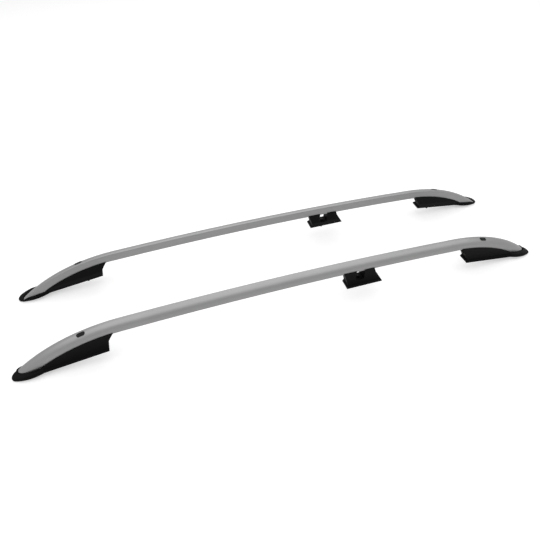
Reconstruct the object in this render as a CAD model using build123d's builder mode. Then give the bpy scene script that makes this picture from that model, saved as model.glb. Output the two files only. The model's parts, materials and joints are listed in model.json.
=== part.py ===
from build123d import *
from math import acos, asin, atan, atan2, copysign, cos, degrees, hypot, radians, sin, sqrt
import os

# A pair of roof side rails. Each rail is an arched aluminium tube of D section that is bent
# down at both ends and stands on three moulded feet. Millimetres, +X to the rear, +Y to the
# right-hand rail, +Z up; the origin is under the middle of the pair, level with the noses.
# The right-hand rail is drawn, and the left-hand rail is its mirror image.

# The pair
RAIL_SPREAD = 306.5  # between the flat inner faces of the two tubes
HALF_LENGTH = 951.7  # middle of a rail to the tip of an end foot

# Tube: flat inside, rounded over outside
TUBE_WIDTH = 32.2
TUBE_HEIGHT = 32.7
TUBE_WALL = 2.0
TUBE_BLUNT = 4.0  # height of the blunt tip at each slanted end
TOP_FLAT = 8.0  # flat strip on top, inboard of the rounded shoulder
INNER_EDGE = 3.0  # edge radius between the flat top and the flat inner face
LOWER_EDGE = 3.0
CREST_HEIGHT = 154.0  # top of the tube at the middle of the arch
CREST_END = -1.5  # height of the crest line over the tips, past the tube's cut ends
ARCH_RADIUS = 11500.0
BEND_RADIUS = 600.0

# All feet: a cradle for the tube, an outer side that flares out to a flange, thin walls
LIP = 2.2  # wall of the cradle beside the tube
LIP_HEIGHT = 5.0  # how far the cradle reaches up the tube's sides
FLANGE = 13.2  # flange beyond the tube's outer face
INNER_INSET = 3.0  # sole's inner edge, outside the tube's inner face
FLANGE_STEP = 0.6  # from the sole's inner edge to the flange's, seen at the heel
FLANGE_HEIGHT = 9.0
FLANGE_ROUND = 5.0
FLANGE_LEDGE = 5.0  # flange beyond the heel of an end foot and the ends of a middle foot
FLANGE_EDGE = 2.5  # upright edge of that ledge
FLARE_TOP = 26.0  # where the sides start to flare out to the flange and draw in to the inner edge
FLARE_REACH = 4.8
FOOT_WALL = 3.2
FOOT_ROOF = 3.5  # plastic between the tube and the hollow underside

# End feet: a wedge under the bend, with a broad rounded nose around the tube's cut end
SOLE_SLOPE = 7.8  # degrees, down towards the tips
FRONT_FOOT = 305.0  # along the sole, from the tip to the heel's lower edge
FRONT_OVERHANG = 26.0  # how far the heel leans in, from its lower edge to the tube
REAR_FOOT = 304.0
REAR_OVERHANG = 30.5
HEEL_HOLLOW = 2.0  # depth of the heel's concave curve
NOSE_START = 97.0  # where the nose bulges out of the flange, from the tip
NOSE_PAST = 4.5  # nose beyond the tip, measured on the sole
NOSE_MIDDLE = 22.0  # nose's centre line, from the tube's inner face
NOSE_RADIUS = 20.0
NOSE_CHEEK = 130.0  # radius of the nose's sides
NOSE_HEIGHT = 12.0
NOSE_ROUND = 6.5
NOSE_FLOOR = 2.2  # plastic under the tube's cut end
NOSE_MOUTH = 8.0  # how far the nose is open above the tube's end
MOUTH_GAP = 0.6  # around the tube in that opening
HOLLOW_END = 7.0  # headroom where the hollow stops short of the nose
RIB = 2.6
RIB_STEPS = (-24.0, 24.0, 56.0, 112.0)  # ribs, along the sole from the bolt towards the tip

# Middle feet: a raked pedestal with a window under the tube
MIDDLE_SOLE = 60.5
MIDDLE_FRONT = 165.0  # lower front edge
MIDDLE_LENGTH = 134.0
MIDDLE_RAKE = 23.0  # how far the top stands ahead of the base
MIDDLE_TOP = 116.0  # length under the tube
MIDDLE_HOLLOW = 2.5  # depth of the concave curve at each end
WINDOW_FRONT = 199.7
WINDOW_WIDTH = 31.0
WINDOW_FLOOR = 21.0  # plastic under the window
WINDOW_CORNER = 4.0

# Bolts to the roof, with their washers
BOLT_RADIUS = 3.5  # plain shoulder, from the head down to the gasket's lower face
THREAD_RADIUS = 2.95
BOLT_FREE = 10.0  # thread that stands out under the gasket
BOLT_POINT = 0.8
BOLT_INSET = 15.0  # bolts and plugs, from the tube's inner face
BOLT_FROM_TIP = 248.0  # along the sole
BOSS_RADIUS = 7.5
HEAD_RADIUS = 5.0
HEAD_HEIGHT = 6.0
SOCKET_SIZE = 5.0
SOCKET_DEPTH = 3.0
HEX_SIZE = 10.0
HEX_HEIGHT = 4.0
BEVEL_LENGTH = 22.0  # bevelled washer in the tube
BEVEL_WIDTH = 10.4
WASHER_EDGE = 1.6
WASHER_RADIUS = 9.0

# Self-tapping screws from the feet into the tube
SCREW_RADIUS = 2.2
SCREW_LENGTH = 14.0
SCREW_POINT = 3.0
SCREW_TIP = 0.4  # radius of the blunt point
SCREW_HEAD_RADIUS = 4.4
SCREW_HEAD_HEIGHT = 3.0
SCREW_SEAT = 3.0  # plastic between the tube and the screw's head
HEEL_SCREW = 276.7  # along the rail from the tip
NOSE_SCREW = 156.7
MIDDLE_SCREWS = 11.5  # from the window's sides

# Plugs and gaskets
PLUG_LENGTH = 28.0
PLUG_WIDTH = 13.2
PLUG_RISE = 0.9
PLUG_RIM = 1.2  # how far the cap laps over the edge of its hole
PLUG_DEPTH = 8.0
GASKET = 2.0
GASKET_INSET = 2.5

# Clearances
SEAT_GAP = 0.25  # tube in its cradle
CONTACT_GAP = 0.1  # on the curved tube: washers, plugs, screw threads
HOLE_GAP = 0.3  # around bolts and screws
WELL_GAP = 0.8  # around screw heads

# Places worked out from the sizes above
INNER_Y = RAIL_SPREAD / 2
ARCH_Z = CREST_HEIGHT - ARCH_RADIUS
ARM = ARCH_RADIUS - BEND_RADIUS  # between the centres of the arch and of a bend
TIP_SPAN = hypot(HALF_LENGTH, CREST_END - ARCH_Z)  # centre of the arch to the crest line's end
TIP_ANGLE = acos((ARM**2 + TIP_SPAN**2 - BEND_RADIUS**2) / (2 * ARM * TIP_SPAN))
BEND_START = atan2(HALF_LENGTH, CREST_END - ARCH_Z) - TIP_ANGLE
ARCH_HALF = ARCH_RADIUS * sin(BEND_START)
BEND_X = ARM * sin(BEND_START)
BEND_Z = ARCH_Z + ARM * cos(BEND_START)
BEND_END = asin((HALF_LENGTH - BEND_X) / BEND_RADIUS)
UNDERSIDE = BEND_RADIUS - TUBE_HEIGHT  # radius of the tube's underside in the bend
SLOPE = radians(SOLE_SLOPE)
TIP_Z = GASKET * cos(SLOPE) + (NOSE_PAST - GASKET_INSET) * sin(SLOPE)
TUBE_END = NOSE_FLOOR + SEAT_GAP
FLANGE_OUTER = TUBE_WIDTH + FLANGE
FLANGE_INNER = INNER_INSET + FLANGE_STEP
FLANGE_WIDTH = FLANGE_OUTER - FLANGE_INNER
FLANGE_MIDDLE = (FLANGE_OUTER + FLANGE_INNER) / 2
HOLLOW_INNER = INNER_INSET + FOOT_WALL
HOLLOW_WIDTH = TUBE_WIDTH + LIP - FOOT_WALL - HOLLOW_INNER
MIDDLE_CENTRE = MIDDLE_FRONT + MIDDLE_LENGTH / 2
TOP_FRONT = MIDDLE_CENTRE - MIDDLE_RAKE - MIDDLE_TOP / 2
TOP_REAR = TOP_FRONT + MIDDLE_TOP
WINDOW_REAR = WINDOW_FRONT + WINDOW_WIDTH
WINDOW_MIDDLE = WINDOW_FRONT + WINDOW_WIDTH / 2
WINDOW_SCREWS = (WINDOW_FRONT - MIDDLE_SCREWS, WINDOW_REAR + MIDDLE_SCREWS)
END_SCREWS = (HALF_LENGTH - HEEL_SCREW, HALF_LENGTH - NOSE_SCREW)
REACH = 4 * TUBE_HEIGHT  # longer than any cut through a rail is deep
PAST_TIP = NOSE_PAST + NOSE_RADIUS  # how far the trimming shape runs past an end foot's tip


def sole_plane(end: int, height: float = 0.0) -> Plane:
    """Sole of an end foot: X along the rail, Y outwards, the origin under the tip."""
    along = (cos(SLOPE), 0, -end * sin(SLOPE))
    normal = (end * sin(SLOPE), 0, cos(SLOPE))
    return Plane((end * HALF_LENGTH, INNER_Y, TIP_Z), x_dir=along, z_dir=normal).offset(height)


SOLE = sole_plane(1)
SOLE_SIDE = Plane(SOLE.origin, x_dir=SOLE.x_dir, z_dir=(0, -1, 0))
SOLE_SECTION = Plane(SOLE.origin, x_dir=(0, 1, 0), z_dir=SOLE.x_dir)
BEND_CENTRE = SOLE_SIDE.to_local_coords(Vector(BEND_X, INNER_Y, BEND_Z))
MIDDLE = Plane((0, INNER_Y, MIDDLE_SOLE))
MIDDLE_SIDE = Plane(MIDDLE.origin, x_dir=(1, 0, 0), z_dir=(0, -1, 0))
MIDDLE_SECTION = Plane((MIDDLE_CENTRE, INNER_Y, MIDDLE_SOLE), x_dir=(0, 1, 0), z_dir=(1, 0, 0))


def tube_plane(x: float, depth: float) -> Plane:
    """Plane along the tube at x, on the surface that lies depth below its crest."""
    in_bend = abs(x) > ARCH_HALF
    centre_x = copysign(BEND_X, x) if in_bend else 0.0
    centre_z = BEND_Z if in_bend else ARCH_Z
    radius = (BEND_RADIUS if in_bend else ARCH_RADIUS) - depth
    lean = asin((x - centre_x) / radius)
    origin = (x, INNER_Y, centre_z + radius * cos(lean))
    return Plane(origin, x_dir=(cos(lean), 0, -sin(lean)), z_dir=(sin(lean), 0, cos(lean)))


def screw_seat(x: float) -> Plane:
    """Seat of a screw's head under the tube; its normal is the screw's axis."""
    return Plane(tube_plane(x, TUBE_HEIGHT + SCREW_SEAT).location * Location((0, TUBE_WIDTH / 2, 0)))


def bend_height(radius: float, along: float) -> float:
    """Height over the sole of a circle about the bend's centre, at a place along the sole."""
    return BEND_CENTRE.Y + sqrt(radius**2 - (along - BEND_CENTRE.X) ** 2)


def bend_reach(radius: float, height: float) -> float:
    """Place along the sole where a circle about the bend's centre comes down to a height."""
    return BEND_CENTRE.X + sqrt(radius**2 - (height - BEND_CENTRE.Y) ** 2)


def crest_line() -> Curve:
    """The tube's inner top edge: a shallow arch between two bends."""
    arch = degrees(BEND_START)
    bend = degrees(BEND_END) - arch
    with BuildLine(Plane.XZ.offset(-INNER_Y)) as line:
        CenterArc((-BEND_X, BEND_Z), BEND_RADIUS, 90 + arch + bend, -bend)
        CenterArc((0, ARCH_Z), ARCH_RADIUS, 90 + arch, -2 * arch)
        CenterArc((BEND_X, BEND_Z), BEND_RADIUS, 90 - arch, -bend)
    return line.line


def tube_outline(plane: Plane, grow: float) -> Sketch:
    """The D section from its inner top edge, grown all round by a gap or shrunk by a wall."""
    shoulder_drop = TUBE_WIDTH - TOP_FLAT
    with BuildSketch(plane) as section:
        with BuildLine():
            top = Line((0, 0), (TOP_FLAT, 0))
            shoulder = TangentArc(top @ 1, (TUBE_WIDTH, -shoulder_drop), tangent=top % 1)
            Polyline(shoulder @ 1, (TUBE_WIDTH, -TUBE_HEIGHT), (0, -TUBE_HEIGHT), (0, 0))
        make_face()
        fillet(section.vertices().group_by(Axis.Y)[0], LOWER_EDGE)
        fillet(section.vertices().sort_by_distance((0, 0))[0], INNER_EDGE)
        if grow:
            offset(amount=grow)
    return section.sketch


def tube_sweep(grow: float) -> Part:
    """The section swept along the whole crest line, its ends still long."""
    line = crest_line()
    start = Plane(line @ 0, x_dir=(0, 1, 0), z_dir=line % 0)
    with BuildPart() as swept:
        sweep(tube_outline(start, grow), path=line)
    return swept.part


def tube_envelope(grow: float) -> Part:
    """The tube without its bore, its ends cut parallel to the soles and blunt at the tips."""
    blunt = bend_reach(BEND_RADIUS - TUBE_BLUNT, TUBE_END)
    blunt_x = SOLE_SIDE.from_local_coords(Vector(blunt, TUBE_END)).X
    with BuildPart() as envelope:
        add(tube_sweep(grow))
        for end in (-1, 1):
            with BuildSketch(sole_plane(end, TUBE_END - grow)):
                Rectangle(2 * BOLT_FROM_TIP, REACH)
            extrude(amount=-REACH, mode=Mode.SUBTRACT)
            tip = tube_plane(end * blunt_x, TUBE_BLUNT)
            with BuildSketch(Plane(tip.origin, x_dir=(0, 1, 0), z_dir=tip.x_dir * end).offset(grow)):
                Rectangle(REACH, REACH)
            extrude(amount=REACH, mode=Mode.SUBTRACT)
    return envelope.part


def build_tube() -> Part:
    """Bent extrusion with its access holes, bolt holes and screw holes."""
    mid_height = bend_height(BEND_RADIUS - TUBE_HEIGHT / 2, -BOLT_FROM_TIP)
    with BuildPart() as tube:
        add(tube_envelope(0))
        add(tube_sweep(-TUBE_WALL), mode=Mode.SUBTRACT)
        for end in (-1, 1):
            with BuildSketch(sole_plane(end, mid_height)):
                with Locations((-end * BOLT_FROM_TIP, BOLT_INSET)):
                    SlotOverall(PLUG_LENGTH - 2 * PLUG_RIM, PLUG_WIDTH - 2 * PLUG_RIM)
            extrude(amount=TUBE_HEIGHT, mode=Mode.SUBTRACT)
            with BuildSketch(sole_plane(end, mid_height)):
                with Locations((-end * BOLT_FROM_TIP, BOLT_INSET)):
                    Circle(BOLT_RADIUS + HOLE_GAP)
            extrude(amount=-TUBE_HEIGHT, mode=Mode.SUBTRACT)
        for x in (*END_SCREWS, *WINDOW_SCREWS, *(-place for place in END_SCREWS)):
            with BuildSketch(screw_seat(x)):
                Circle(SCREW_RADIUS + CONTACT_GAP)
            extrude(amount=SCREW_LENGTH, mode=Mode.SUBTRACT)
    return tube.part


def foot_section(plane: Plane) -> Sketch:
    """Cross-section of a foot: drawn in to the inner edge, flaring out to the outer flange."""
    side = TUBE_WIDTH + LIP
    with BuildSketch(plane) as section:
        with BuildLine():
            foot_of_flare = (side + FLARE_REACH, FLANGE_HEIGHT)
            flare = TangentArc((side, FLARE_TOP), foot_of_flare, tangent=(0, -1))
            inner = [(INNER_INSET, 0), (-LIP, FLARE_TOP), (-LIP, REACH)]
            Polyline(flare @ 1, (side + FLARE_REACH, 0), *inner, (side, REACH), flare @ 0)
        make_face()
    return section.sketch


def flange_outline(heel: float, inset: float = 0.0) -> Sketch:
    """Plan of an end foot's flange, from its heel to the middle of the nose."""
    with BuildSketch(SOLE) as plan:
        with Locations(((heel - NOSE_START / 2) / 2, FLANGE_MIDDLE)):
            Rectangle(-heel - NOSE_START / 2, FLANGE_WIDTH)
        if inset:
            offset(amount=-inset)
    return plan.sketch


def nose_outline(inset: float = 0.0) -> Sketch:
    """Plan of the nose: a round tip and two cheeks, the inner one running into the flange."""
    half = FLANGE_OUTER - NOSE_MIDDLE
    tip_centre = NOSE_PAST - NOSE_RADIUS
    start = Vector(-NOSE_START - tip_centre, half)
    between = NOSE_CHEEK - NOSE_RADIUS  # centres of the tip and of a cheek
    turn = acos((between**2 + start.length**2 - NOSE_CHEEK**2) / (2 * between * start.length))
    lean = atan2(-start.Y, -start.X) + turn
    touch = Vector(tip_centre + NOSE_RADIUS * cos(lean), NOSE_RADIUS * sin(lean))
    lower = Vector(touch.X, -touch.Y)
    with BuildSketch(Plane(SOLE.origin + Vector(0, NOSE_MIDDLE, 0), SOLE.x_dir, SOLE.z_dir)) as plan:
        with BuildLine():
            outer = TangentArc(touch, (-NOSE_START, half), tangent=(-sin(lean), cos(lean)))
            ThreePointArc(touch, (NOSE_PAST, 0), lower)
            inner = TangentArc(lower, (-NOSE_START, -half), tangent=(-sin(lean), -cos(lean)))
            rise = FLANGE_INNER - NOSE_MIDDLE + half
            run = Line(inner @ 1, inner @ 1 + (inner % 1) * (rise / (inner % 1).Y))
            Line(run @ 1, outer @ 1)
        make_face()
        if inset:
            offset(amount=-inset)
    return plan.sketch


def end_hollow(heel_foot: Vector, heel_top: Vector) -> Part:
    """Hollow underside of an end foot, around its ribs and its bolt boss."""
    roof = UNDERSIDE - FOOT_ROOF
    low = heel_foot + Vector(FOOT_WALL, 0)
    high_place = heel_top.X + FOOT_WALL
    high = Vector(high_place, bend_height(roof, high_place))
    far = Vector(bend_reach(roof, HOLLOW_END), HOLLOW_END)
    mid_place = (high_place + far.X) / 2
    with BuildPart() as hollow:
        with BuildSketch(SOLE_SIDE.offset(-HOLLOW_INNER)):
            with BuildLine():
                SagittaArc(low, high, -HEEL_HOLLOW)
                ThreePointArc(high, (mid_place, bend_height(roof, mid_place)), far)
                Polyline(far, (far.X, -GASKET), (low.X, -GASKET), low)
            make_face()
        extrude(amount=-HOLLOW_WIDTH)
        for step in RIB_STEPS:
            with BuildSketch(SOLE_SECTION.offset(step - BOLT_FROM_TIP)):
                Rectangle(REACH, 2 * REACH)
            extrude(amount=RIB / 2, both=True, mode=Mode.SUBTRACT)
        with BuildSketch(SOLE):
            with Locations((-BOLT_FROM_TIP, BOLT_INSET)):
                Circle(BOSS_RADIUS)
        extrude(amount=REACH, both=True, mode=Mode.SUBTRACT)
    return hollow.part


def cut_screw_wells(places: tuple) -> Part:
    """Holes for the screws under the tube, with flat seats for their heads."""
    with BuildPart() as wells:
        for x in places:
            with BuildSketch(screw_seat(x)):
                Circle(SCREW_RADIUS + HOLE_GAP)
            extrude(amount=2 * SCREW_SEAT)
            with BuildSketch(screw_seat(x)):
                Circle(SCREW_HEAD_RADIUS + WELL_GAP)
            extrude(amount=-SCREW_HEAD_HEIGHT - FOOT_ROOF)
    return wells.part


def build_end_foot(length: float, overhang: float) -> Part:
    """End foot at the rear: flange, nose and wedge trimmed to one side view, then hollowed."""
    lip = UNDERSIDE + LIP_HEIGHT
    edge = -length
    heel_foot = Vector(edge + FLANGE_LEDGE, FLANGE_HEIGHT)
    heel_x = HALF_LENGTH - length * cos(SLOPE) - overhang
    heel_top = SOLE_SIDE.to_local_coords(tube_plane(heel_x, TUBE_HEIGHT - LIP_HEIGHT).origin)
    lip_end = Vector(bend_reach(lip, NOSE_HEIGHT), NOSE_HEIGHT)
    mid_place = (heel_top.X + lip_end.X) / 2
    lip_middle = Vector(mid_place, bend_height(lip, mid_place))
    tip_top = Vector(PAST_TIP, NOSE_HEIGHT)
    upwards = Axis(SOLE.origin, SOLE.z_dir)
    with BuildPart() as flange:
        extrude(flange_outline(edge), amount=FLANGE_HEIGHT)
        fillet(flange.faces().sort_by(upwards)[-1].edges().sort_by(Axis.Y)[-1], FLANGE_ROUND)
    with BuildPart() as nose:
        extrude(nose_outline(), amount=NOSE_HEIGHT)
        fillet(nose.faces().sort_by(upwards)[-1].edges().filter_by(GeomType.CIRCLE), NOSE_ROUND)
    mouth = tube_envelope(MOUTH_GAP).moved(Location(SOLE.z_dir * NOSE_MOUTH))
    with BuildPart() as foot:
        add(flange.part)
        add(nose.part)
        extrude(foot_section(SOLE_SECTION.offset(lip_end.X)), amount=2 * edge)
        with BuildSketch(SOLE_SIDE):
            with BuildLine():
                Polyline((edge, 0), (edge, FLANGE_EDGE), heel_foot)
                SagittaArc(heel_foot, heel_top, -HEEL_HOLLOW)
                ThreePointArc(heel_top, lip_middle, lip_end)
                Polyline(lip_end, tip_top, (PAST_TIP, 0), (edge, 0))
            make_face()
        extrude(amount=REACH, both=True, mode=Mode.INTERSECT)
        add(end_hollow(heel_foot, heel_top), mode=Mode.SUBTRACT)
        add(tube_envelope(SEAT_GAP), mode=Mode.SUBTRACT)
        add(mouth, mode=Mode.SUBTRACT)
        add(cut_screw_wells(END_SCREWS), mode=Mode.SUBTRACT)
        with BuildSketch(SOLE):
            with Locations((-BOLT_FROM_TIP, BOLT_INSET)):
                Circle(BOLT_RADIUS + HOLE_GAP)
        extrude(amount=REACH, mode=Mode.SUBTRACT)
    return foot.part


def middle_spot(x: float, depth: float) -> Vector:
    """Spot under the tube's crest at x, in the side view of the middle foot."""
    return MIDDLE_SIDE.to_local_coords(tube_plane(x, depth).origin)


def middle_pocket(outer_low: float, outer_high: float, inner: float) -> Part:
    """Hollow of one pillar of the middle foot, open at the sole and upright at the window."""
    roof = TUBE_HEIGHT + FOOT_ROOF
    with BuildPart() as pocket:
        with BuildSketch(MIDDLE_SIDE.offset(-HOLLOW_INNER)):
            with BuildLine():
                top = Line(middle_spot(outer_high, roof), middle_spot(inner, roof))
                low = (outer_low, FLANGE_HEIGHT)
                Polyline(top @ 1, (inner, 0), (outer_low, 0), low, top @ 0)
            make_face()
        extrude(amount=-HOLLOW_WIDTH)
    return pocket.part


def build_middle_foot() -> Part:
    """Raked pedestal: flange and pillars trimmed to one side view, with the window between."""
    lip = TUBE_HEIGHT - LIP_HEIGHT
    rear = MIDDLE_FRONT + MIDDLE_LENGTH
    front_low = Vector(MIDDLE_FRONT + FLANGE_LEDGE, FLANGE_HEIGHT)
    rear_low = Vector(rear - FLANGE_LEDGE, FLANGE_HEIGHT)
    front_high = middle_spot(TOP_FRONT, lip)
    rear_high = middle_spot(TOP_REAR, lip)
    with BuildPart() as flange:
        with BuildSketch(MIDDLE):
            with Locations((MIDDLE_CENTRE, FLANGE_MIDDLE)):
                Rectangle(MIDDLE_LENGTH, FLANGE_WIDTH)
        extrude(amount=FLANGE_HEIGHT)
        fillet(flange.faces().sort_by(Axis.Z)[-1].edges().sort_by(Axis.Y)[-1], FLANGE_ROUND)
    with BuildPart() as foot:
        add(flange.part)
        extrude(foot_section(MIDDLE_SECTION), amount=MIDDLE_LENGTH, both=True)
        with BuildSketch(MIDDLE_SIDE):
            with BuildLine():
                Polyline((MIDDLE_FRONT, 0), (MIDDLE_FRONT, FLANGE_EDGE), front_low)
                SagittaArc(front_low, front_high, -MIDDLE_HOLLOW)
                ThreePointArc(front_high, middle_spot(WINDOW_MIDDLE, lip), rear_high)
                SagittaArc(rear_high, rear_low, -MIDDLE_HOLLOW)
                Polyline(rear_low, (rear, FLANGE_EDGE), (rear, 0), (MIDDLE_FRONT, 0))
            make_face()
        extrude(amount=REACH, both=True, mode=Mode.INTERSECT)
        wall = FOOT_WALL + MIDDLE_HOLLOW
        front_pocket = (front_low.X + wall, TOP_FRONT + wall, WINDOW_FRONT - FOOT_WALL)
        rear_pocket = (rear_low.X - wall, TOP_REAR - wall, WINDOW_REAR + FOOT_WALL)
        add(middle_pocket(*front_pocket), mode=Mode.SUBTRACT)
        add(middle_pocket(*rear_pocket), mode=Mode.SUBTRACT)
        with BuildSketch(MIDDLE_SIDE):
            with Locations((WINDOW_MIDDLE, WINDOW_FLOOR + REACH / 2)):
                RectangleRounded(WINDOW_WIDTH, REACH, WINDOW_CORNER)
        extrude(amount=REACH, both=True, mode=Mode.SUBTRACT)
        add(tube_envelope(SEAT_GAP), mode=Mode.SUBTRACT)
        add(cut_screw_wells(WINDOW_SCREWS), mode=Mode.SUBTRACT)
        with BuildSketch(MIDDLE):
            with Locations((WINDOW_MIDDLE, BOLT_INSET)):
                Circle(BOLT_RADIUS + HOLE_GAP)
        extrude(amount=REACH, mode=Mode.SUBTRACT)
    return foot.part


def build_plug() -> Part:
    """Plug of the rear access hole: a cap that follows the tube, on a stem that fills the hole."""
    mid_height = bend_height(BEND_RADIUS - TUBE_HEIGHT / 2, -BOLT_FROM_TIP)
    stem_height = bend_height(BEND_RADIUS - PLUG_DEPTH, -BOLT_FROM_TIP)
    with BuildPart() as stem:
        with BuildSketch(sole_plane(1, stem_height)):
            with Locations((-BOLT_FROM_TIP, BOLT_INSET)):
                slack = 2 * (PLUG_RIM + CONTACT_GAP)
                SlotOverall(PLUG_LENGTH - slack, PLUG_WIDTH - slack)
        extrude(amount=REACH)
        add(tube_sweep(PLUG_RISE / 2), mode=Mode.INTERSECT)
    with BuildPart() as plug:
        with BuildSketch(sole_plane(1, mid_height)):
            with Locations((-BOLT_FROM_TIP, BOLT_INSET)):
                SlotOverall(PLUG_LENGTH, PLUG_WIDTH)
        extrude(amount=REACH)
        add(tube_sweep(PLUG_RISE), mode=Mode.INTERSECT)
        add(tube_sweep(CONTACT_GAP), mode=Mode.SUBTRACT)
        add(stem.part)
    return plug.part


def bevel_seat() -> float:
    """Height over the sole of the bevelled washer's upper face."""
    return bend_height(UNDERSIDE + TUBE_WALL, -BOLT_FROM_TIP - BEVEL_LENGTH / 2) + WASHER_EDGE


def build_bevel_washer() -> Part:
    """Washer inside the tube: square to the bolt above, curved to the tube below."""
    with BuildPart() as washer:
        with BuildSketch(sole_plane(1, bevel_seat())):
            with Locations((-BOLT_FROM_TIP, BOLT_INSET)):
                SlotOverall(BEVEL_LENGTH, BEVEL_WIDTH)
                Circle(BOLT_RADIUS + HOLE_GAP, mode=Mode.SUBTRACT)
        extrude(amount=-HEAD_RADIUS * 2)
        with BuildSketch(SOLE_SIDE):
            with Locations((BEND_CENTRE.X, BEND_CENTRE.Y)):
                Circle(UNDERSIDE + TUBE_WALL + CONTACT_GAP)
        extrude(amount=REACH, both=True, mode=Mode.SUBTRACT)
    return washer.part


def build_bolt(sole: Plane, place: tuple, seat: float, hexagon: bool) -> Part:
    """Roof bolt: its head on a seat above the sole, its free thread below the gasket."""
    with BuildPart() as bolt:
        with BuildSketch(sole.offset(-GASKET)):
            with Locations(place):
                Circle(BOLT_RADIUS)
        extrude(amount=GASKET + seat)
        with BuildSketch(sole.offset(-GASKET)):
            with Locations(place):
                Circle(THREAD_RADIUS)
        extrude(amount=-BOLT_FREE)
        tip = bolt.faces().sort_by(Axis(sole.origin, sole.z_dir))[0]
        chamfer(tip.edges(), BOLT_POINT)
        with BuildSketch(sole.offset(seat)):
            with Locations(place):
                if hexagon:
                    RegularPolygon(HEX_SIZE / 2, 6, major_radius=False)
                else:
                    Circle(HEAD_RADIUS)
        extrude(amount=HEX_HEIGHT if hexagon else HEAD_HEIGHT)
        if not hexagon:
            with BuildSketch(sole.offset(seat + HEAD_HEIGHT)):
                with Locations(place):
                    RegularPolygon(SOCKET_SIZE / 2, 6, major_radius=False)
            extrude(amount=-SOCKET_DEPTH, mode=Mode.SUBTRACT)
    return bolt.part


def build_middle_washer() -> Part:
    """Flat washer on the floor of the window."""
    with BuildPart() as washer:
        with BuildSketch(MIDDLE.offset(WINDOW_FLOOR)):
            with Locations((WINDOW_MIDDLE, BOLT_INSET)):
                Circle(WASHER_RADIUS)
                Circle(BOLT_RADIUS + HOLE_GAP, mode=Mode.SUBTRACT)
        extrude(amount=WASHER_EDGE)
    return washer.part


def build_screws(places: tuple) -> Part:
    """Self-tapping screws up into the tube's underside, as separate solids."""
    point_taper = degrees(atan((SCREW_RADIUS - SCREW_TIP) / SCREW_POINT))
    shank = SCREW_LENGTH - SCREW_POINT
    with BuildPart() as screws:
        for x in places:
            with BuildSketch(screw_seat(x)):
                Circle(SCREW_HEAD_RADIUS)
            extrude(amount=-SCREW_HEAD_HEIGHT)
            with BuildSketch(screw_seat(x)):
                Circle(SCREW_RADIUS)
            extrude(amount=shank)
            with BuildSketch(screw_seat(x).offset(shank)):
                Circle(SCREW_RADIUS)
            extrude(amount=SCREW_POINT, taper=point_taper)
    return screws.part


def build_end_gasket(length: float) -> Part:
    """Pad under an end foot, a little inside its outline."""
    with BuildPart() as gasket:
        extrude(flange_outline(-length, GASKET_INSET), amount=-GASKET)
        extrude(nose_outline(GASKET_INSET), amount=-GASKET)
        with BuildSketch(SOLE):
            with Locations((-BOLT_FROM_TIP, BOLT_INSET)):
                Circle(BOLT_RADIUS + HOLE_GAP)
        extrude(amount=REACH, both=True, mode=Mode.SUBTRACT)
    return gasket.part


def build_middle_gasket() -> Part:
    """Pad under the middle foot."""
    with BuildPart() as gasket:
        with BuildSketch(MIDDLE):
            with Locations((MIDDLE_CENTRE, FLANGE_MIDDLE)):
                Rectangle(MIDDLE_LENGTH - 2 * GASKET_INSET, FLANGE_WIDTH - 2 * GASKET_INSET)
            with Locations((WINDOW_MIDDLE, BOLT_INSET)):
                Circle(BOLT_RADIUS + HOLE_GAP, mode=Mode.SUBTRACT)
        extrude(amount=-GASKET)
    return gasket.part


def write_piece(piece: Part, name: str, mirrors: tuple) -> None:
    """Place a piece by its mirror planes and write it."""
    with BuildPart() as node:
        add(piece)
        for about in mirrors:
            mirror(about=about, mode=Mode.REPLACE)
    node.part.label = name
    export_step(node.part, f"parts/{name}.step")


os.makedirs("parts", exist_ok=True)

middle_seat = WINDOW_FLOOR + WASHER_EDGE
middle_pieces = {
    "tube": build_tube(),
    "middle_foot": build_middle_foot(),
    "middle_bolt": build_bolt(MIDDLE, (WINDOW_MIDDLE, BOLT_INSET), middle_seat, hexagon=True),
    "middle_washer": build_middle_washer(),
    "middle_gasket": build_middle_gasket(),
    "middle_foot_screws": build_screws(WINDOW_SCREWS),
}
alike_pieces = {
    "plug": build_plug(),
    "bolt": build_bolt(SOLE, (-BOLT_FROM_TIP, BOLT_INSET), bevel_seat(), hexagon=False),
    "washer": build_bevel_washer(),
    "foot_screws": build_screws(END_SCREWS),
}
front_pieces = {
    "foot": build_end_foot(FRONT_FOOT, FRONT_OVERHANG),
    "gasket": build_end_gasket(FRONT_FOOT),
}
rear_pieces = {
    "foot": build_end_foot(REAR_FOOT, REAR_OVERHANG),
    "gasket": build_end_gasket(REAR_FOOT),
}

for side, across in (("right", ()), ("left", (Plane.XZ,))):
    for name, piece in middle_pieces.items():
        write_piece(piece, f"{side}_{name}", across)
    for name, piece in (rear_pieces | alike_pieces).items():
        write_piece(piece, f"{side}_rear_{name}", across)
    for name, piece in (front_pieces | alike_pieces).items():
        write_piece(piece, f"{side}_front_{name}", across + (Plane.YZ,))
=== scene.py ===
"""Looks of a pair of roof side rails: arched anodised tubes that stand on black moulded feet."""

import json
import logging
import math
from dataclasses import dataclass
from enum import Enum

import bmesh
import bpy
from mathutils import Matrix, Vector


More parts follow.
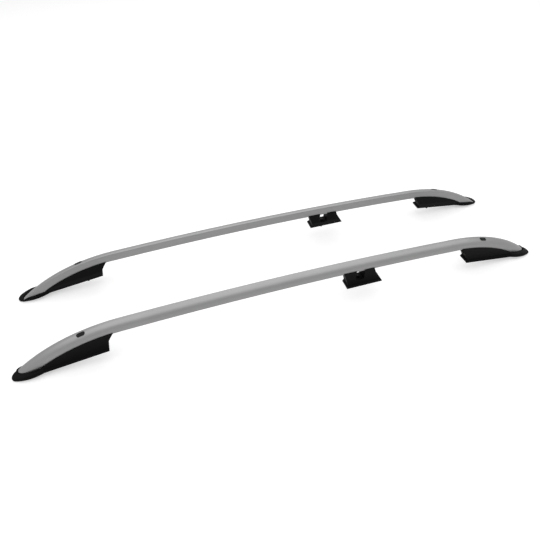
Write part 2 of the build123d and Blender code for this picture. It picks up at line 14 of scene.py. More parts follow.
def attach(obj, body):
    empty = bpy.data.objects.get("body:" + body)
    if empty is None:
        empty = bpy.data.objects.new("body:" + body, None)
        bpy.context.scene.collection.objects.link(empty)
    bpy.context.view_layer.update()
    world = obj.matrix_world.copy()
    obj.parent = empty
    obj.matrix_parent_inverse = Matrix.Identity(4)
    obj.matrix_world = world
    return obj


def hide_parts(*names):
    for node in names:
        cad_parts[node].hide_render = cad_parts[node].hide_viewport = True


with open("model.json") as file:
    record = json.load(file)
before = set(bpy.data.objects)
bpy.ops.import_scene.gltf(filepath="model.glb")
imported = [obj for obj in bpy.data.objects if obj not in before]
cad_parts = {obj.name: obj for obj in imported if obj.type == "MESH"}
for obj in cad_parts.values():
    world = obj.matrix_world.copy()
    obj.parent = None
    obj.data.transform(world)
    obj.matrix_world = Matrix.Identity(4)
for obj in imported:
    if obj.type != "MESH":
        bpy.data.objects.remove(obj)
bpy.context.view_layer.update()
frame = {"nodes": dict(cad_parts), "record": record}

LOG = logging.getLogger("roof_side_rails")
MM = 0.001
BODY = "root"
UP = Vector((0, 0, 1))

Ring = list[Vector]


def linear(hex_colour: str) -> tuple[float, float, float, float]:
    """Turn an sRGB hex colour into linear values.

    Args:
        hex_colour: Colour such as "#1A1A1B".

    Returns:
        Linear red, green and blue with an alpha of one.
    """
    parts = [int(hex_colour[place:place + 2], 16) / 255 for place in (1, 3, 5)]
    low = [part / 12.92 for part in parts]
    high = [((part + 0.055) / 1.055) ** 2.4 for part in parts]
    red, green, blue = (a if part <= 0.04045 else b for part, a, b in zip(parts, low, high))
    return (red, green, blue, 1.0)


def add_node(
    tree: bpy.types.NodeTree,
    kind: str,
    inputs: dict[str | int, object] | None = None,
    **settings: object,
) -> bpy.types.Node:
    """Add one shader node with its settings, values and links.

    Args:
        tree: Node tree that takes the node.
        kind: Blender's type name of the node.
        inputs: Values by socket; a socket of another node is linked instead of set.
        **settings: Properties of the node itself.

    Returns:
        The new node.
    """
    node = tree.nodes.new(kind)
    for name, value in settings.items():
        setattr(node, name, value)
    for socket, value in (inputs or {}).items():
        if isinstance(value, bpy.types.NodeSocket):
            tree.links.new(value, node.inputs[socket])
        else:
            node.inputs[socket].default_value = value
    return node


def empty_material(name: str) -> bpy.types.Material:
    """Make a material whose node tree holds nothing yet.

    Args:
        name: Name of the real material.

    Returns:
        The new material.
    """
    material = bpy.data.materials.new(name)
    material.use_nodes = True
    material.node_tree.nodes.clear()
    return material


def add_skin(shell: bmesh.types.BMesh, rings: list[Ring]) -> None:
    """Join rings of points into one closed skin, capped at its first and last ring.

    Args:
        shell: Mesh that takes the skin.
        rings: Rings with the same number of points each, in order.
    """
    loops = [[shell.verts.new(point) for point in ring] for ring in rings]
    faces = [shell.faces.new(reversed(loops[0])), shell.faces.new(loops[-1])]
    count = len(loops[0])
    for lower, upper in zip(loops, loops[1:]):
        for place in range(count):
            after = (place + 1) % count
            faces.append(shell.faces.new((lower[place], lower[after], upper[after], upper[place])))
    bmesh.ops.recalc_face_normals(shell, faces=faces)


def finish_piece(name: str, shell: bmesh.types.BMesh, crease_degrees: float) -> bpy.types.Object:
    """Turn a finished mesh into a piece of the scene.

    Args:
        name: Name of the new piece.
        shell: The mesh, which is freed.
        crease_degrees: Edges that turn by more than this stay sharp.

    Returns:
        The new piece, linked to the scene.
    """
    mesh = bpy.data.meshes.new(name)
    shell.to_mesh(mesh)
    shell.free()
    mesh.shade_smooth()
    mesh.set_sharp_from_angle(angle=math.radians(crease_degrees))
    piece = bpy.data.objects.new(name, mesh)
    bpy.context.scene.collection.objects.link(piece)
    return piece


def skin_rings(name: str, rings: list[Ring], crease_degrees: float) -> bpy.types.Object:
    """Make a piece from rings of points alone.

    Args:
        name: Name of the new piece.
        rings: Rings with the same number of points each, in order.
        crease_degrees: Edges that turn by more than this stay sharp.

    Returns:
        The new piece, linked to the scene.
    """
    shell = bmesh.new()
    add_skin(shell, rings)
    return finish_piece(name, shell, crease_degrees)


@dataclass(frozen=True)
class TubeLine:
    """Arcs of the tube's crest, as the part's source gives them. Metres."""

    inner_face: float = 153.25 * MM
    arch_half: float = 596.62 * MM
    arch_radius: float = 11500 * MM
    crest: float = 154 * MM
    bend_radius: float = 600 * MM
    bend_x: float = 565.494 * MM
    bend_z: float = -460.679 * MM
    top_flat: float = 8 * MM
    shoulder: float = 24.2 * MM

    def depth(self, tree: bpy.types.NodeTree, place: bpy.types.NodeSocket) -> bpy.types.NodeSocket:
        """Work out in shader nodes how far a spot lies above the crest's arcs.

        Args:
            tree: Node tree that takes the nodes.
            place: Socket with the spot in the object's own coordinates.

        Returns:
            Socket with the height over the crest, in metres, below zero inside the tube.
        """
        parts = add_node(tree, "ShaderNodeSeparateXYZ", {0: place})
        side = add_node(tree, "ShaderNodeMath", {0: parts.outputs["X"]}, operation="ABSOLUTE")
        depths = []
        arcs = (
            (0.0, self.crest - self.arch_radius, self.arch_radius),
            (self.bend_x, self.bend_z, self.bend_radius),
        )
        for centre_x, centre_z, radius in arcs:
            run = add_node(tree, "ShaderNodeMath", {0: side.outputs[0], 1: centre_x}, operation="SUBTRACT")
            rise = add_node(
                tree, "ShaderNodeMath", {0: parts.outputs["Z"], 1: centre_z}, operation="SUBTRACT"
            )
            spoke = add_node(tree, "ShaderNodeCombineXYZ", {"X": run.outputs[0], "Z": rise.outputs[0]})
            length = add_node(tree, "ShaderNodeVectorMath", {0: spoke.outputs[0]}, operation="LENGTH")
            above = add_node(
                tree, "ShaderNodeMath", {0: length.outputs["Value"], 1: radius}, operation="SUBTRACT"
            )
            depths.append(above.outputs[0])
        bent = add_node(
            tree, "ShaderNodeMath", {0: side.outputs[0], 1: self.arch_half}, operation="GREATER_THAN"
        )
        chosen = add_node(
            tree, "ShaderNodeMix", {"Factor": bent.outputs[0], "A": depths[0], "B": depths[1]}
        )
        return chosen.outputs["Result"]

    def section_rise(self, across: float, lift: float) -> float:
        """Give the height of the section's top over its crest.

        Args:
            across: Distance outwards from the tube's inner face.
            lift: Distance that a skin lies off the tube.

        Returns:
            Height over the crest, below zero on the rounded shoulder.
        """
        past_flat = across - self.top_flat
        if past_flat <= 0:
            return lift
        return math.sqrt((self.shoulder + lift) ** 2 - past_flat**2) - self.shoulder

    def landing(self, start: Vector, ahead: Vector, lift: float) -> Vector:
        """Follow a line up to the rear right-hand bend's top.

        Args:
            start: Point of the line below the tube's top.
            ahead: Direction of the line, of length one and with nothing across the car.
            lift: Distance that the wanted skin lies off the tube.

        Returns:
            Point where the line leaves that skin.
        """
        radius = self.bend_radius + self.section_rise(start.y - self.inner_face, lift)
        spoke = Vector((start.x - self.bend_x, 0, start.z - self.bend_z))
        along = spoke.dot(ahead)
        return start + ahead * (math.sqrt(along**2 - spoke.length_squared + radius**2) - along)


@dataclass(frozen=True)
class AnodisedAluminium:
    """Extruded aluminium, etched and clear anodised.

    The etch gives a soft satin grey with no clear reflections; faint lines from the die run
    along the tube, also round its bends, and the anodic layer varies a little in tone.
    """

    name: str = "anodised_aluminium"
    colour: str = "#9D9D9D"
    shade: str = "#959595"
    roughness: float = 0.46
    roughness_spread: float = 0.05
    die_line_mm: float = 2.4  # finer on the real tube; as coarse as this to show in a render
    line_run_mm: float = 400.0
    line_detail: float = 3.0
    cloud_mm: float = 140.0
    cloud_detail: float = 2.0
    bump_mm: float = 0.04
    bump_strength: float = 0.35

    def build(self) -> bpy.types.Material:
        """Make the material.

        Returns:
            Satin metal with lines along the tube.
        """
        material = empty_material(self.name)
        tree = material.node_tree
        place = add_node(tree, "ShaderNodeTexCoord").outputs["Object"]
        parts = add_node(tree, "ShaderNodeSeparateXYZ", {0: place})
        on_tube = add_node(
            tree,
            "ShaderNodeCombineXYZ",
            {"X": parts.outputs["X"], "Y": parts.outputs["Y"], "Z": TubeLine().depth(tree, place)},
        )
        fine = 1 / (self.die_line_mm * MM)
        stretched = add_node(
            tree,
            "ShaderNodeVectorMath",
            {0: on_tube.outputs[0], 1: (1 / (self.line_run_mm * MM), fine, fine)},
            operation="MULTIPLY",
        )
        lines = add_node(
            tree,
            "ShaderNodeTexNoise",
            {"Vector": stretched.outputs[0], "Scale": 1.0, "Detail": self.line_detail},
        )
        clouds = add_node(
            tree,
            "ShaderNodeTexNoise",
            {"Vector": place, "Scale": 1 / (self.cloud_mm * MM), "Detail": self.cloud_detail},
        )
        tone = add_node(
            tree,
            "ShaderNodeMix",
            {"Factor": clouds.outputs["Fac"], "A": linear(self.shade), "B": linear(self.colour)},
            data_type="RGBA",
        )
        satin = add_node(
            tree,
            "ShaderNodeMapRange",
            {
                "Value": lines.outputs["Fac"],
                "To Min": self.roughness - self.roughness_spread,
                "To Max": self.roughness + self.roughness_spread,
            },
        )
        bump = add_node(
            tree,
            "ShaderNodeBump",
            {"Height": lines.outputs["Fac"], "Strength": self.bump_strength, "Distance": self.bump_mm * MM},
        )
        shader = add_node(
            tree,
            "ShaderNodeBsdfPrincipled",
            {
                "Base Color": tone.outputs["Result"],
                "Metallic": 1.0,
                "Roughness": satin.outputs["Result"],
                "Normal": bump.outputs["Normal"],
            },
        )
        add_node(tree, "ShaderNodeOutputMaterial", {"Surface": shader.outputs[0]})
        return material


@dataclass(frozen=True)
class MouldedPlastic:
    """Injection-moulded plastic from a spark-eroded tool.

    The tool leaves an even matte grain, so the black keeps only a dull sheen, with slightly
    lighter and darker areas where the melt cooled unevenly.
    """

    name: str
    colour: str
    shade: str
    roughness: float
    specular: float
    grain_mm: float = 1.6  # about half of this on the real foot; coarser so that it shows
    grain_detail: float = 3.0
    cloud_mm: float = 45.0
    cloud_detail: float = 2.0
    bump_mm: float = 0.25
    bump_strength: float = 0.6
    roughness_spread: float = 0.12

    def build(self) -> bpy.types.Material:
        """Make the material.

        Returns:
            Matte plastic with a moulded grain.
        """
        material = empty_material(self.name)
        tree = material.node_tree
        place = add_node(tree, "ShaderNodeTexCoord").outputs["Object"]
        grain = add_node(
            tree,
            "ShaderNodeTexNoise",
            {"Vector": place, "Scale": 1 / (self.grain_mm * MM), "Detail": self.grain_detail},
        )
        clouds = add_node(
            tree,
            "ShaderNodeTexNoise",
            {"Vector": place, "Scale": 1 / (self.cloud_mm * MM), "Detail": self.cloud_detail},
        )
        tone = add_node(
            tree,
            "ShaderNodeMix",
            {"Factor": clouds.outputs["Fac"], "A": linear(self.shade), "B": linear(self.colour)},
            data_type="RGBA",
        )
        dull = add_node(
            tree,
            "ShaderNodeMapRange",
            {
                "Value": grain.outputs["Fac"],
                "To Min": self.roughness - self.roughness_spread,
                "To Max": self.roughness + self.roughness_spread,
            },
        )
        bump = add_node(
            tree,
            "ShaderNodeBump",
            {"Height": grain.outputs["Fac"], "Strength": self.bump_strength, "Distance": self.bump_mm * MM},
        )
        shader = add_node(
            tree,
            "ShaderNodeBsdfPrincipled",
            {
                "Base Color": tone.outputs["Result"],
                "Roughness": dull.outputs["Result"],
                "Specular IOR Level": self.specular,
                "Normal": bump.outputs["Normal"],
            },
        )
        add_node(tree, "ShaderNodeOutputMaterial", {"Surface": shader.outputs[0]})
        return material


@dataclass(frozen=True)
class PlatedSteel:
    """Cold-headed steel with a thin dark plating.

    The plating is nearly black with a soft gleam, and mottled where it grew unevenly.
    """

    name: str
    colour: str
    shade: str
    roughness: float
    roughness_spread: float = 0.08
    mottle_mm: float = 1.5
    mottle_detail: float = 4.0

    def build(self) -> bpy.types.Material:
        """Make the material.

        Returns:
            Plated metal with a fine mottle.
        """
        material = empty_material(self.name)
        tree = material.node_tree
        place = add_node(tree, "ShaderNodeTexCoord").outputs["Object"]
        mottle = add_node(
            tree,
            "ShaderNodeTexNoise",
            {"Vector": place, "Scale": 1 / (self.mottle_mm * MM), "Detail": self.mottle_detail},
        )
        tone = add_node(
            tree,
            "ShaderNodeMix",
            {"Factor": mottle.outputs["Fac"], "A": linear(self.shade), "B": linear(self.colour)},
            data_type="RGBA",
        )
        gleam = add_node(
            tree,
            "ShaderNodeMapRange",
            {
                "Value": mottle.outputs["Fac"],
                "To Min": self.roughness - self.roughness_spread,
                "To Max": self.roughness + self.roughness_spread,
            },
        )
        shader = add_node(
            tree,
            "ShaderNodeBsdfPrincipled",
            {"Base Color": tone.outputs["Result"], "Metallic": 1.0, "Roughness": gleam.outputs["Result"]},
        )
        add_node(tree, "ShaderNodeOutputMaterial", {"Surface": shader.outputs[0]})
        return material


class Finish(Enum):
    """Finish of each kind of piece, with the record's slot as its value."""

    TUBE = "anodised_tube"
    FOOT = "foot_plastic"
    PLUG = "plug_plastic"
    GASKET = "gasket_rubber"
    BOLT = "bolt_steel"
    WASHER = "washer_steel"
    SCREW = "screw_steel"


FINISHES = {
    Finish.TUBE: AnodisedAluminium(),
    Finish.FOOT: MouldedPlastic("glass_filled_nylon", "#0C0C0D", "#070708", 0.55, 0.07),
    Finish.PLUG: MouldedPlastic("polypropylene", "#151516", "#101011", 0.45, 0.18, bump_mm=0.06),
    Finish.GASKET: MouldedPlastic("epdm_rubber", "#0D0D0D", "#0A0A0A", 0.85, 0.06, grain_mm=2.5),
    Finish.BOLT: PlatedSteel("black_zinc_bolt_steel", "#242425", "#1A1A1B", 0.45),
    Finish.WASHER: PlatedSteel("black_zinc_washer_steel", "#222223", "#191919", 0.5),
    Finish.SCREW: PlatedSteel("black_zinc_screw_steel", "#242425", "#1A1A1B", 0.42),
}

KINDS = {
    "tube": Finish.TUBE,
    "foot": Finish.FOOT,
    "plug": Finish.PLUG,
    "gasket": Finish.GASKET,
    "bolt": Finish.BOLT,
    "washer": Finish.WASHER,
    "screws": Finish.SCREW,
}


class Wardrobe:
    """The finished materials, each built once."""

    def __init__(self) -> None:
        """Build every finish."""
        self.materials = {finish: FINISHES[finish].build() for finish in Finish}

    def dress(self, piece: bpy.types.Object, finish: Finish) -> None:
        """Give a piece its finish.

        Args:
            piece: Piece of the frame or of the scene.
            finish: Finish of its kind.
        """
        piece.data.materials.clear()
        piece.data.materials.append(self.materials[finish])
        LOG.info("%s: %s", piece.name, FINISHES[finish].name)

    def stand_in(self, piece: bpy.types.Object, node: str, finish: Finish) -> None:
        """Let a finer piece stand for a node of the frame.

        Args:
            piece: The finer piece, already in place.
            node: Node that it stands for.
            finish: Finish of its kind.
        """
        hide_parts(node)
        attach(piece, BODY)
        self.dress(piece, finish)


class Head(Enum):
    """Head of a roof bolt."""

    SOCKET = "socket"
    HEXAGON = "hexagon"


@dataclass(frozen=True)
class RoofBolt:
    """Bolt with a rolled thread, a plain shoulder and its head. Metres, up from the gasket."""

    head: Head
    seat: float
    points: int = 36
    thread_radius: float = 2.95 * MM
    thread_depth: float = 0.55 * MM
    pitch: float = 1.0 * MM
    rows_per_turn: int = 8
    crest_share: float = 0.14
    free: float = 10 * MM
    lead_in: float = 0.8 * MM
    shoulder_radius: float = 3.5 * MM
    round_radius: float = 5.0 * MM
    round_height: float = 6.0 * MM
    round_edge: float = 0.5 * MM
    knurl: float = 0.12 * MM
    knurl_every: int = 2
    socket_flat: float = 2.5 * MM
    socket_depth: float = 3.0 * MM
    socket_chamfer: float = 0.25 * MM
    hex_flat: float = 5.0 * MM
    hex_height: float = 4.0 * MM
    hex_top: float = 4.7 * MM
    hex_slope: float = 30.0
    crease_degrees: float = 28.0

    def angle(self, place: int) -> float:
        """Angle of one of the points round the bolt."""
        return math.tau * place / self.points

    def ring(self, height: float, radii: list[float]) -> Ring:
        """Ring of points at one height, with a radius for each point."""
        spots = ((self.angle(place), radius) for place, radius in enumerate(radii))
        return [Vector((radius * math.cos(turn), radius * math.sin(turn), height)) for turn, radius in spots]

    def even(self, height: float, radius: float) -> Ring:
        """Round ring at one height."""
        return self.ring(height, [radius] * self.points)

    def hexagon(self, flat: float) -> list[float]:
        """Work out the radii of a hexagon.

        Args:
            flat: Half its width across flats.

        Returns:
            Radius at each point round the bolt.
        """
        sixth = math.tau / 6
        turns = (self.angle(place) % sixth - sixth / 2 for place in range(self.points))
        return [flat / math.cos(turn) for turn in turns]

    def thread(self) -> list[Ring]:
        """Roll the free thread.

        Returns:
            Rings from the lead-in up to the shoulder.
        """
        rings = [self.even(-self.free, self.thread_radius - self.lead_in)]
        step = self.pitch / self.rows_per_turn
        for row in range(int((self.free - self.lead_in) / step)):
            height = -self.free + self.lead_in + row * step
            radii = []
            for place in range(self.points):
                phase = (height / self.pitch - place / self.points) % 1.0
                flank = (abs(2 * phase - 1) - self.crest_share) / (1 - 2 * self.crest_share)
                cut = self.thread_depth * min(max(flank, 0.0), 1.0)
                radii.append(self.thread_radius - cut)
            rings.append(self.ring(height, radii))
        return rings + [self.even(0, self.thread_radius)]

    def socket_head(self) -> list[Ring]:
        """Shape a knurled round head with a hexagonal socket.

        Returns:
            Rings from the seat up and down into the socket.
        """
        top = self.seat + self.round_height
        knurled = [
            self.round_radius - (self.knurl if place % self.knurl_every else 0.0)
            for place in range(self.points)
        ]
        socket = self.hexagon(self.socket_flat)
        return [
            self.even(self.seat, self.round_radius - self.round_edge),
            self.ring(self.seat + self.round_edge, knurled),
            self.ring(top - self.round_edge, knurled),
            self.even(top, self.round_radius - self.round_edge),
            self.ring(top, [radius + self.socket_chamfer for radius in socket]),
            self.ring(top - self.socket_chamfer, socket),
            self.ring(top - self.socket_depth, socket),
        ]

    def hexagon_head(self) -> list[Ring]:
        """Shape a hexagonal head whose corners are turned off on top.

        Returns:
            Rings from the seat up to the flat top.
        """
        top = self.seat + self.hex_height
        flats = self.hexagon(self.hex_flat)
        upper = self.ring(top, flats)
        for point, radius in zip(upper, flats):
            point.z -= (radius - self.hex_top) * math.tan(math.radians(self.hex_slope))
        return [self.ring(self.seat, flats), upper, self.even(top, self.hex_top)]

    def build(self, name: str, mount: dict) -> bpy.types.Object:
        """Make the bolt at a mount of the record.

        Args:
            name: Name of the new piece.
            mount: Mount whose pin is this bolt's free thread.

        Returns:
            The bolt, in place.
        """
        shank = [self.even(0, self.shoulder_radius), self.even(self.seat, self.shoulder_radius)]
        head = self.socket_head() if self.head is Head.SOCKET else self.hexagon_head()
        piece = skin_rings(name, self.thread() + shank + head, self.crease_degrees)
        upwards = -Vector(mount["axis"]).normalized()
        foot = Vector(mount["pos_m"]) + upwards * (mount["dims"]["length_mm"] * MM / 2)
        piece.data.transform(Matrix.Translation(foot) @ UP.rotation_difference(upwards).to_matrix().to_4x4())
        return piece


@dataclass(frozen=True)
class Sole:
    """Plane on which the rear right-hand foot stands on the roof. Metres."""

    half_length: float = 951.7 * MM
    tip_height: float = 2.253 * MM
    slope: float = 7.8

    def along(self) -> Vector:
        """Direction along the sole, towards the tip."""
        slope = math.radians(self.slope)
        return Vector((math.cos(slope), 0, -math.sin(slope)))

    def upwards(self) -> Vector:
        """Direction square to the sole."""
        slope = math.radians(self.slope)
        return Vector((math.sin(slope), 0, math.cos(slope)))

    def tip(self, across: float) -> Vector:
        """Point of the tip's line at some distance from the plane between the rails."""
        return Vector((self.half_length, across, self.tip_height))


@dataclass(frozen=True)
class EndFoot:
    """End foot whose moulded nose slopes down to a thin tip, with a rim along the tube's inner face.

    Metres, along the sole.
    """

    line: TubeLine = TubeLine()
    sole: Sole = Sole()
    slope_start: float = 45 * MM
    past_tip: float = 4.5 * MM
    tip_share: float = 0.36
    ease: float = 1.3
    weld: float = 0.005 * MM
    crease_degrees: float = 30.0
    # The rim at the tube's inner face, by stations: its plan on the tube's side and on the
    # other side, each along the sole from the tip and outwards from that face, and its height. In mm.
    rim: tuple[tuple[tuple[float, float], tuple[float, float], float], ...] = (
        ((-104.0, -0.3), (-104.0, -0.7), 15.8),
        ((-92.0, -0.3), (-92.0, -2.0), 15.0),
        ((-75.0, -0.3), (-75.0, -2.8), 13.6),
        ((-55.0, -0.3), (-55.0, -2.9), 12.6),
        ((-40.0, -0.3), (-40.0, -2.9), 12.4),
        ((-30.0, -0.3), (-29.5, -2.8), 12.2),
        ((-24.0, -0.3), (-22.8, -2.3), 11.3),
        ((-19.0, -0.3), (-17.0, -1.5), 9.8),
        ((-16.0, -0.1), (-13.0, -0.2), 8.4),
        ((-14.0, 1.6), (-10.5, 1.8), 7.2),
        ((-13.5, 4.0), (-9.3, 4.0), 6.2),
    )
    # The rim's rounded top: share of its thickness, and mm below its height.
    rim_crown: tuple[tuple[float, float], ...] = (
        (0.0, 0.9), (0.12, 0.35), (0.35, 0.05), (0.65, 0.05), (0.88, 0.35), (1.0, 0.9),
    )
    rim_floor: float = 0.6

    def share(self, along: float) -> float:
        """Share of its height that the nose keeps at a place along the sole."""
        run = (along + self.slope_start) / (self.slope_start + self.past_tip)
        return 1 - (1 - self.tip_share) * min(max(run, 0.0), 1.0) ** self.ease

    def rim_rings(self, ends: int, sides: int) -> list[Ring]:
        """Rings of the rim that hides the lower edge of the tube's inner face.

        Args:
            ends: One at the rear, minus one at the front.
            sides: One on the right, minus one on the left.

        Returns:
            Rings from the foot's lip to the nose.
        """
        tip = self.sole.tip(self.line.inner_face)
        rings = []
        for near, far, top in self.rim:
            spots = [(0.0, self.rim_floor)]
            spots += [(part, top - drop) for part, drop in self.rim_crown]
            spots.append((1.0, self.rim_floor))
            ring = []
            for part, height in spots:
                along, across = Vector(near).lerp(Vector(far), part) * MM
                place = tip + self.sole.along() * along + self.sole.upwards() * height * MM
                ring.append(Vector((place.x * ends, (place.y + across) * sides, place.z)))
            rings.append(ring)
        return rings

    def build(self, name: str, solid: bpy.types.Object, ends: int, sides: int) -> bpy.types.Object:
        """Make the foot from the frame's solid.

        Args:
            name: Name of the new piece.
            solid: The frame's foot, which stays as it is.
            ends: One at the rear, minus one at the front.
            sides: One on the right, minus one on the left.

        Returns:
            The foot, in place.
        """
        shell = bmesh.new()
        shell.from_mesh(solid.data)
        shell.transform(solid.matrix_world)
        bmesh.ops.remove_doubles(shell, verts=shell.verts, dist=self.weld)
        tip = self.sole.tip(0)
        for vertex in shell.verts:
            place = Vector((vertex.co.x * ends, vertex.co.y * sides, vertex.co.z))
            height = (place - tip).dot(self.sole.upwards())
            kept = self.share((place - tip).dot(self.sole.along()))
            place += self.sole.upwards() * height * (kept - 1)
            vertex.co = (place.x * ends, place.y * sides, place.z)
        add_skin(shell, self.rim_rings(ends, sides))
        return finish_piece(name, shell, self.crease_degrees)


@dataclass(frozen=True)
class AccessPlug:
    """Cap over an access hole: a raised rim around a sunk panel, bent to the tube. Metres."""

    line: TubeLine = TubeLine()
    sole: Sole = Sole()
    from_tip: float = 248 * MM
    inset: float = 15 * MM
    start_height: float = 60 * MM
    length: float = 28 * MM
    width: float = 13.2 * MM
    points: int = 56
    crease_degrees: float = 50.0
    # Each step gives how far in from the edge a ring lies and how far off the tube, in mm.
    steps: tuple[tuple[float, float], ...] = (
        (1.3, -6.0), (1.3, 0.1), (0.0, 0.1), (0.0, 0.45), (0.12, 0.7), (0.4, 0.88), (0.7, 0.9),
        (1.5, 0.9), (1.75, 0.82), (1.95, 0.5), (2.2, 0.42), (3.4, 0.44), (4.6, 0.46), (5.6, 0.46),
    )

    def outline(self, inwards: float) -> list[tuple[float, float]]:
        """Lay out the obround plan.

        Args:
            inwards: Distance in from the plug's edge.

        Returns:
            Points of the plan, each along the tube and across it.
        """
        radius = self.width / 2 - inwards
        reach = (self.length - self.width) / 2
        half = self.points // 2
        spots = []
        for end in (1, -1):
            for place in range(half):
                turn = math.pi * (place / (half - 1) - 0.5)
                spots.append((end * (reach + radius * math.cos(turn)), end * radius * math.sin(turn)))
        return spots

    def build(self, name: str, ends: int, sides: int) -> bpy.types.Object:
        """Make the plug over one of the four end feet.

        Args:
            name: Name of the new piece.
            ends: One at the rear, minus one at the front.
            sides: One on the right, minus one on the left.

        Returns:
            The plug, in place.
        """
        along = self.sole.along()
        upwards = self.sole.upwards()
        tip = self.sole.tip(self.line.inner_face + self.inset)
        middle = tip - along * self.from_tip + upwards * self.start_height
        rings = []
        for inwards, lift in self.steps:
            ring = []
            for run, across in self.outline(inwards * MM):
                start = middle + along * run + Vector((0, across, 0))
                spot = self.line.landing(start, upwards, lift * MM)
                ring.append(Vector((spot.x * ends, spot.y * sides, spot.z)))
            rings.append(ring)
        return skin_rings(name, rings, self.crease_degrees)


@dataclass
class RailPair:
    """Both rails: the frame's pieces with their finishes, and finer bolts, end feet and plugs.

    The seats are the heights of the bolts' heads over the gaskets' lower faces, in metres.
    """

    end_seat: float = 58.58 * MM
    middle_seat: float = 24.6 * MM

    def build(self) -> None:
        """Dress every piece of the frame, then set the finer pieces in."""
        wardrobe = Wardrobe()
        for name, piece in sorted(frame["nodes"].items()):
            wardrobe.dress(piece, KINDS[name.rsplit("_", 1)[-1]])
        self.set_bolts(wardrobe)
        self.set_ends(wardrobe)

    def set_bolts(self, wardrobe: Wardrobe) -> None:
        """Put threaded bolts at the record's studs.

        Args:
            wardrobe: The finished materials.
        """
        end_bolt = RoofBolt(Head.SOCKET, self.end_seat)
        middle_bolt = RoofBolt(Head.HEXAGON, self.middle_seat)
        for mount in frame["record"]["mounts"]:
            if mount["kind"] != "pin":
                continue
            node = mount["name"].replace("stud", "bolt")
            bolt = middle_bolt if "middle" in node else end_bolt
            piece = bolt.build(f"{node}_threaded", mount)
            wardrobe.stand_in(piece, node, Finish.BOLT)

    def set_ends(self, wardrobe: Wardrobe) -> None:
        """Put sloped noses on the end feet and rimmed plugs over the access holes.

        Args:
            wardrobe: The finished materials.
        """
        foot = EndFoot()
        plug = AccessPlug()
        for side, sides in (("left", -1), ("right", 1)):
            for end, ends in (("front", -1), ("rear", 1)):
                node = f"{side}_{end}_foot"
                piece = foot.build(f"{node}_moulded", frame["nodes"][node], ends, sides)
                wardrobe.stand_in(piece, node, Finish.FOOT)
                node = f"{side}_{end}_plug"
                piece = plug.build(f"{node}_rimmed", ends, sides)
                wardrobe.stand_in(piece, node, Finish.PLUG)


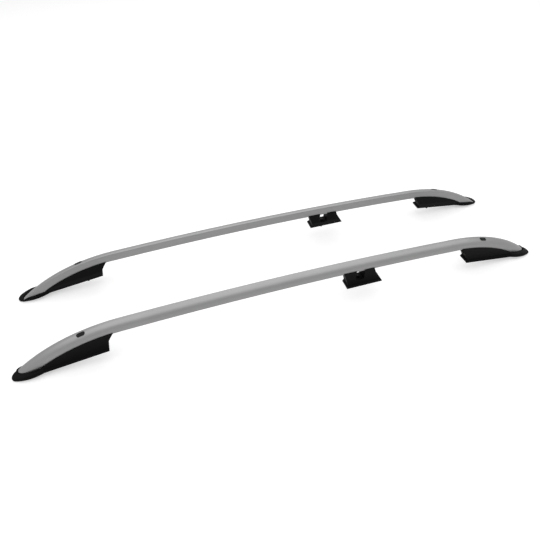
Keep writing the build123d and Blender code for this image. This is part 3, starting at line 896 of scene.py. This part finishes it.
@dataclass
class Studio:
    """Pale floor, soft light and the camera at the photograph's viewpoint."""

    floor_half: float = 20.0
    floor_colour: str = "#E4E4E4"
    floor_glow: float = 0.33
    straight_glow: float = 0.17
    surround_colour: str = "#E7E7E7"  # tone of the floor far away, so that no horizon shows
    ambient: float = 0.5
    overhead_place: tuple[float, float, float] = (0.0, -0.1, 3.0)
    overhead_size: tuple[float, float] = (9.0, 4.4)
    overhead_watts: float = 88.0
    rear_place: tuple[float, float, float] = (0.6, 3.2, 3.0)
    rear_size: tuple[float, float] = (4.5, 2.5)
    rear_watts: float = 28.0
    eye: tuple[float, float, float] = (-0.42235, -1.21184, 1.26672)
    yaw: float = 16.838
    pitch: float = 44.147
    roll: float = -0.939
    focal_px: float = 474.467
    image_px: int = 540
    sensor_mm: float = 36.0

    def seen_rays(self, tree: bpy.types.NodeTree) -> bpy.types.NodeSocket:
        """Tell the rays that show the background, straight or in a reflection, from the rest.

        Args:
            tree: Node tree of the floor or the world.

        Returns:
            Socket that is one for camera, glossy and transmission rays.
        """
        rays = add_node(tree, "ShaderNodeLightPath")
        shown = add_node(
            tree,
            "ShaderNodeMath",
            {0: rays.outputs["Is Camera Ray"], 1: rays.outputs["Is Glossy Ray"]},
            operation="MAXIMUM",
        )
        both = add_node(
            tree,
            "ShaderNodeMath",
            {0: shown.outputs[0], 1: rays.outputs["Is Transmission Ray"]},
            operation="MAXIMUM",
        )
        return both.outputs[0]

    def build_floor(self) -> None:
        """Lay a pale floor that shows white and keeps the shadows."""
        half = self.floor_half
        corners = [(-half, -half, 0), (half, -half, 0), (half, half, 0), (-half, half, 0)]
        mesh = bpy.data.meshes.new("floor")
        mesh.from_pydata(corners, [], [(0, 1, 2, 3)])
        floor = bpy.data.objects.new("floor", mesh)
        bpy.context.scene.collection.objects.link(floor)
        material = empty_material("pale_floor")
        tree = material.node_tree
        matte = add_node(tree, "ShaderNodeBsdfDiffuse", {"Color": linear(self.floor_colour)})
        glow = add_node(
            tree,
            "ShaderNodeMath",
            {0: self.seen_rays(tree), 1: self.floor_glow},
            operation="MULTIPLY",
        )
        straight = add_node(tree, "ShaderNodeLightPath").outputs["Is Camera Ray"]
        whole = add_node(
            tree,
            "ShaderNodeMath",
            {0: straight, 1: self.straight_glow, 2: glow.outputs[0]},
            operation="MULTIPLY_ADD",
        )
        light = add_node(tree, "ShaderNodeEmission", {"Strength": whole.outputs[0]})
        both = add_node(tree, "ShaderNodeAddShader", {0: matte.outputs[0], 1: light.outputs[0]})
        add_node(tree, "ShaderNodeOutputMaterial", {"Surface": both.outputs[0]})
        mesh.materials.append(material)

    def build_world(self) -> None:
        """Set a pale surround that lights the object evenly and softly."""
        world = bpy.data.worlds.new("pale_surround")
        world.use_nodes = True
        tree = world.node_tree
        tree.nodes.clear()
        strength = add_node(
            tree,
            "ShaderNodeMapRange",
            {"Value": self.seen_rays(tree), "To Min": self.ambient, "To Max": 1.0},
        )
        light = add_node(
            tree,
            "ShaderNodeBackground",
            {"Color": linear(self.surround_colour), "Strength": strength.outputs["Result"]},
        )
        add_node(tree, "ShaderNodeOutputWorld", {"Surface": light.outputs[0]})
        bpy.context.scene.world = world

    def build_softbox(self, name: str, place: Vector, size: tuple[float, float], watts: float) -> None:
        """Hang a soft rectangular light that faces the rails.

        Args:
            name: Name of the light.
            place: Middle of the light.
            size: Width and height of the light.
            watts: Power of the light.
        """
        lamp = bpy.data.lights.new(name, "AREA")
        lamp.shape = "RECTANGLE"
        lamp.size, lamp.size_y = size
        lamp.energy = watts
        holder = bpy.data.objects.new(name, lamp)
        holder.location = place
        holder.rotation_euler = (-place).to_track_quat("-Z", "Y").to_euler()
        bpy.context.scene.collection.objects.link(holder)

    def build_camera(self) -> None:
        """Set the camera at the viewpoint that the photograph's perspective gives."""
        yaw, pitch, roll = (math.radians(angle) for angle in (self.yaw, self.pitch, self.roll))
        ahead = Vector(
            (math.sin(yaw) * math.cos(pitch), math.cos(yaw) * math.cos(pitch), -math.sin(pitch))
        )
        level = Vector((math.cos(yaw), -math.sin(yaw), 0))
        right = math.cos(roll) * level + math.sin(roll) * level.cross(ahead)
        up = right.cross(ahead)
        data = bpy.data.cameras.new("photo_camera")
        data.sensor_width = self.sensor_mm
        data.lens = self.focal_px * self.sensor_mm / self.image_px
        camera = bpy.data.objects.new("photo_camera", data)
        turn = Matrix((right, up, -ahead)).transposed()
        camera.matrix_world = Matrix.Translation(self.eye) @ turn.to_4x4()
        bpy.context.scene.collection.objects.link(camera)
        bpy.context.scene.camera = camera

    def build(self) -> None:
        """Set up floor, light and camera."""
        self.build_floor()
        self.build_world()
        self.build_softbox(
            "overhead_softbox", Vector(self.overhead_place), self.overhead_size, self.overhead_watts
        )
        self.build_softbox("rear_softbox", Vector(self.rear_place), self.rear_size, self.rear_watts)
        self.build_camera()
        bpy.context.scene.view_settings.view_transform = "Standard"


def main() -> None:
    """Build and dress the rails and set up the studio."""
    logging.basicConfig(level=logging.INFO)
    RailPair().build()
    Studio().build()


if __name__ == "__main__":
    main()
